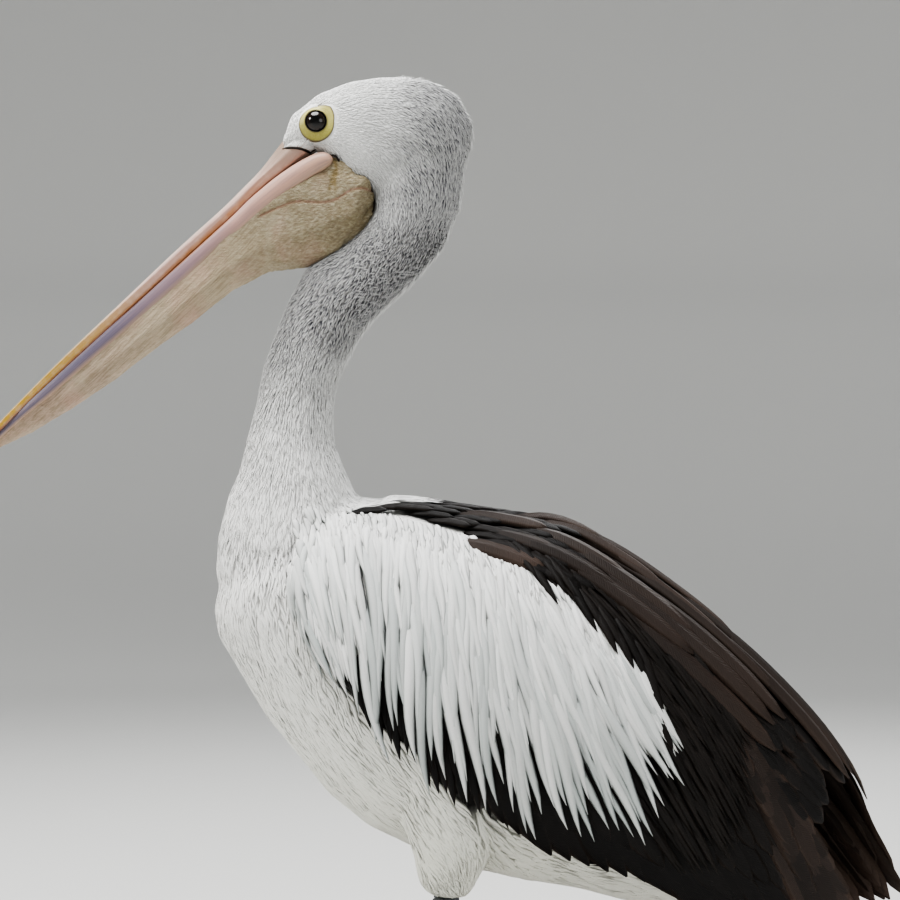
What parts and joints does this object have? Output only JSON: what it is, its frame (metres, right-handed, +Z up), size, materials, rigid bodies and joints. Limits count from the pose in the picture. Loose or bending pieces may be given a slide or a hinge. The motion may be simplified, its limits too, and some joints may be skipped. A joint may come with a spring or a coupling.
{
  "type": "Australian pelican, still life-size model on a stand",
  "caption": "Standing pelican with folded wings, head held high and long pouched bill pointing down and forward, on a flat wooden base.",
  "frame": {"origin": "middle of the underside of the stand base", "axes": "+Z up, the bird faces -X, its left side is -Y"},
  "size_m": [0.9779, 0.2812, 0.9912],
  "materials": {
    "plumage_white": "soft matte white feathers",
    "plumage_grey": "short downy feathers, white streaked with dark grey",
    "plumage_black": "long brown-black feathers, slightly satin",
    "bill_horn": "satin horn, pink-grey",
    "bill_nail": "satin horn, orange-yellow",
    "jaw_skin": "smooth bare skin, pink to blue-grey",
    "pouch_skin": "finely wrinkled bare skin, cream-beige",
    "eye": "wet, very dark brown",
    "leg_skin": "scaly slate-grey skin",
    "claw": "dark horn",
    "stand_wood": "dark stained wood, satin varnish"
  },
  "bodies": {
    "root": {"head": "plumage_white", "neck_upper": "plumage_grey", "neck_middle": "plumage_grey", "neck_lower": "plumage_white", "trunk": "plumage_white", "eye_left": "eye", "eye_right": "eye", "bill_upper": "bill_horn", "bill_nail": "bill_nail", "bill_lower": "jaw_skin", "pouch": "pouch_skin", "wing_coverts_left": "plumage_white", "wing_feathers_left": "plumage_black", "back_feathers_left": "plumage_black", "wing_coverts_right": "plumage_white", "wing_feathers_right": "plumage_black", "back_feathers_right": "plumage_black", "tail": "plumage_black", "thigh_left": "plumage_white", "shank_left": "leg_skin", "foot_left": "leg_skin", "claw_1_left": "claw", "claw_2_left": "claw", "claw_3_left": "claw", "claw_4_left": "claw", "thigh_right": "plumage_white", "shank_right": "leg_skin", "foot_right": "leg_skin", "claw_1_right": "claw", "claw_2_right": "claw", "claw_3_right": "claw", "claw_4_right": "claw", "stand_base": "stand_wood"}
  },
  "joints": []
}
